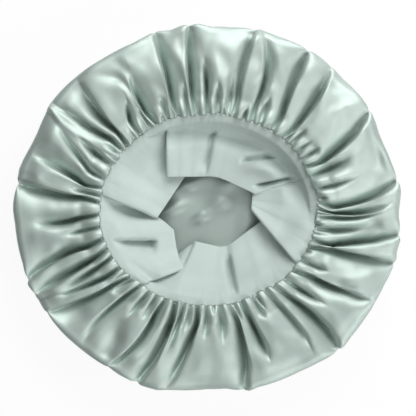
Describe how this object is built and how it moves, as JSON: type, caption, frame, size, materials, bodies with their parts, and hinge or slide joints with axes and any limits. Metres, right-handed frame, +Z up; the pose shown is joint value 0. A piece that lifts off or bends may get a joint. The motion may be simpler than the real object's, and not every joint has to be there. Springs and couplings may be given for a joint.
{
  "type": "hair bonnet",
  "caption": "Soft round hair bonnet: a lined satin cap gathered into an elastic rim, with a wide matte band tucked into the opening.",
  "frame": {"origin": "on the table, under the middle of the crown", "axes": "+X along the longer half of the oval opening, +Z up out of the opening"},
  "size_m": [0.3395, 0.322, 0.05],
  "materials": {
    "outer_satin": "glossy satin weave",
    "lining_satin": "glossy satin weave",
    "band_cloth": "matte fine weave",
    "elastic_knit": "matte ribbed knit",
    "sewing_thread": "spun polyester"
  },
  "bodies": {
    "cap": {"outer_cap": "outer_satin", "cap_lining": "lining_satin"},
    "rim": {"rim_casing": "band_cloth", "rim_elastic": "elastic_knit", "elastic_lap_thread": "sewing_thread", "cap_seam_thread": "sewing_thread", "band_seam_thread": "sewing_thread"},
    "band": {"wide_band": "band_cloth", "band_closing_thread": "sewing_thread"}
  },
  "joints": [
    {"name": "rim_lift", "type": "slide", "parent": "cap", "child": "rim", "axis": [0, 0, 1], "range_m": [0, 0.06], "deforming": ["outer_cap", "cap_lining"]},
    {"name": "band_pull_out", "type": "slide", "parent": "rim", "child": "band", "axis": [0, 0, 1], "range_m": [0, 0.035], "deforming": ["wide_band", "band_closing_thread"]}
  ]
}
